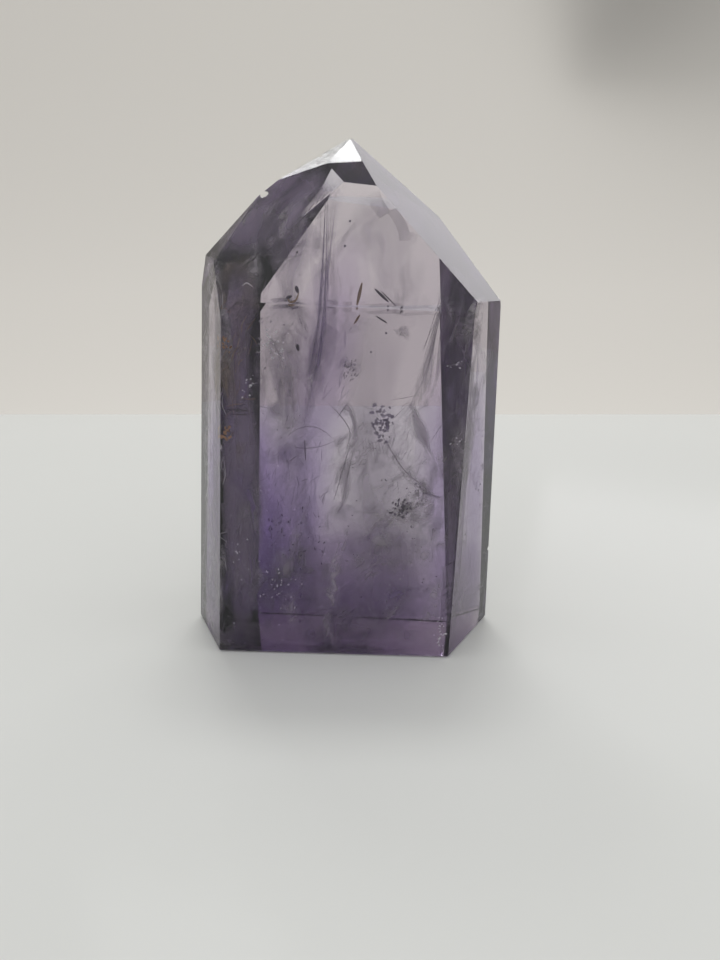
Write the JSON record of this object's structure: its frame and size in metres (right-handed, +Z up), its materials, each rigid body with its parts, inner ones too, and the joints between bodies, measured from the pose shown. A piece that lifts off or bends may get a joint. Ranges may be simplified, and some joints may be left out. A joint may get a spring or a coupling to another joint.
{
  "type": "polished amethyst crystal point",
  "caption": "Free-standing polished amethyst point: a flattened six-sided prism with sloping tip facets, a flat sawn base, and see-through violet quartz with veils and needles sealed inside.",
  "frame": {"origin": "middle of the bounding box of the flat sawn base, on the surface that the point stands on", "axes": "+Z up along the prism's longest side, -Y out of the broad front facet, +X to the right seen from the front"},
  "size_m": [0.064, 0.0324, 0.0995],
  "materials": {
    "amethyst": "hand-polished, clear violet quartz with veils, needles and pale clouds inside"
  },
  "bodies": {
    "root": {"amethyst_point": "amethyst"}
  },
  "joints": []
}
